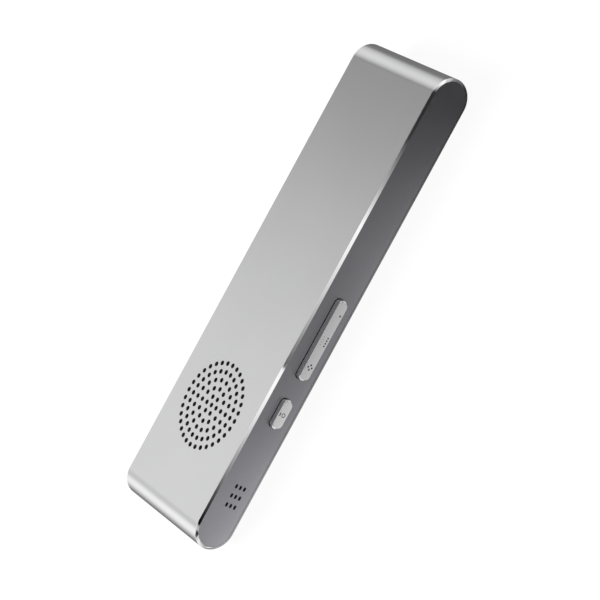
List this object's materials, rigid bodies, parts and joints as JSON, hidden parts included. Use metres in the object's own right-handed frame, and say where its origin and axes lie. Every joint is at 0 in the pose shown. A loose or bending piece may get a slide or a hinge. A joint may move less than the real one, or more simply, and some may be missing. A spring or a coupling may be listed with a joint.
{
  "type": "handheld translator",
  "caption": "Slim handheld voice translator: a flat metal tube with a round speaker grille, side keys, microphone slots and a charging port.",
  "frame": {"origin": "centre of the flat back face, on the surface that the device lies on", "axes": "+X across the body towards the side with the keys, +Y along the body away from the speaker end, +Z from the back face to the speaker face"},
  "size_m": [0.04, 0.14, 0.0126],
  "materials": {
    "blasted_aluminium": "fine bead-blasted, clear anodised",
    "side_aluminium": "fine bead-blasted, clear anodised",
    "side_plastic": "metallic paint",
    "key_aluminium": "satin anodised",
    "adhesive": "matt foam tape",
    "spring_steel": "bright",
    "black_plastic": "moulded",
    "circuit_board": "solder mask",
    "flex_film": "polyimide film",
    "gold_plate": "gold plated",
    "cream_plastic": "moulded",
    "chip_resin": "moulded resin",
    "chip_parts": "fired ceramic",
    "cell_foil": "laminate foil",
    "foam": "fine foam",
    "dust_mesh": "woven mesh",
    "rubber_boot": "moulded",
    "red_lead": "insulated wire",
    "blue_lead": "insulated wire",
    "magnet": "nickel plated",
    "copper_wire": "enamelled wire",
    "cone_film": "pressed film",
    "clear_plastic": "clear"
  },
  "bodies": {
    "case": {"shell": "blasted_aluminium", "right_cover": "side_aluminium", "left_cover": "side_plastic", "cover_tapes": "adhesive", "key_bracket": "spring_steel", "bracket_screws": "spring_steel", "key_stiffener": "gold_plate", "key_flex": "flex_film", "end_domes": "spring_steel", "middle_dome": "spring_steel", "power_dome": "spring_steel", "chassis": "black_plastic", "main_board": "circuit_board", "board_screws": "spring_steel", "usb_socket": "spring_steel", "flex_connector": "cream_plastic", "battery_connector": "cream_plastic", "antenna_socket": "gold_plate", "processor": "chip_resin", "memory_chip": "chip_resin", "shield_can": "spring_steel", "power_inductor": "chip_resin", "board_parts": "chip_parts", "battery_cell": "cell_foil", "protection_board": "circuit_board", "battery_tape": "adhesive", "battery_pad": "foam", "battery_leads": "red_lead", "speaker_frame": "black_plastic", "speaker_magnet": "magnet", "speaker_coil": "copper_wire", "speaker_cone": "cone_film", "speaker_box": "black_plastic", "speaker_gasket": "foam", "speaker_mesh": "dust_mesh", "speaker_leads": "blue_lead", "microphone": "spring_steel", "mic_board": "circuit_board", "mic_boot": "rubber_boot", "mic_mesh": "dust_mesh", "status_led": "clear_plastic", "light_pipe": "clear_plastic", "antenna": "gold_plate", "antenna_lead": "black_plastic"},
    "long_key_carrier": {"key_pin": "spring_steel"},
    "long_key": {"long_key": "key_aluminium"},
    "power_key": {"power_key": "key_aluminium"}
  },
  "joints": [
    {"name": "long_key_press", "type": "slide", "parent": "case", "child": "long_key_carrier", "axis": [-1, 0, 0], "range_m": [0, 0.0002], "stiffness_N_per_m": 2000, "deforming": ["middle_dome"]},
    {"name": "long_key_tilt", "type": "hinge", "parent": "long_key_carrier", "child": "long_key", "pos_m": [0.0172, -0.00685, 0.0063], "axis": [0, 0, 1], "range_deg": [-1.2, 1.2], "stiffness_Nm_per_rad": 0.2, "deforming": ["end_domes"]},
    {"name": "power_key_press", "type": "slide", "parent": "case", "child": "power_key", "axis": [-1, 0, 0], "range_m": [0, 0.0002], "stiffness_N_per_m": 2000, "deforming": ["power_dome"]}
  ]
}
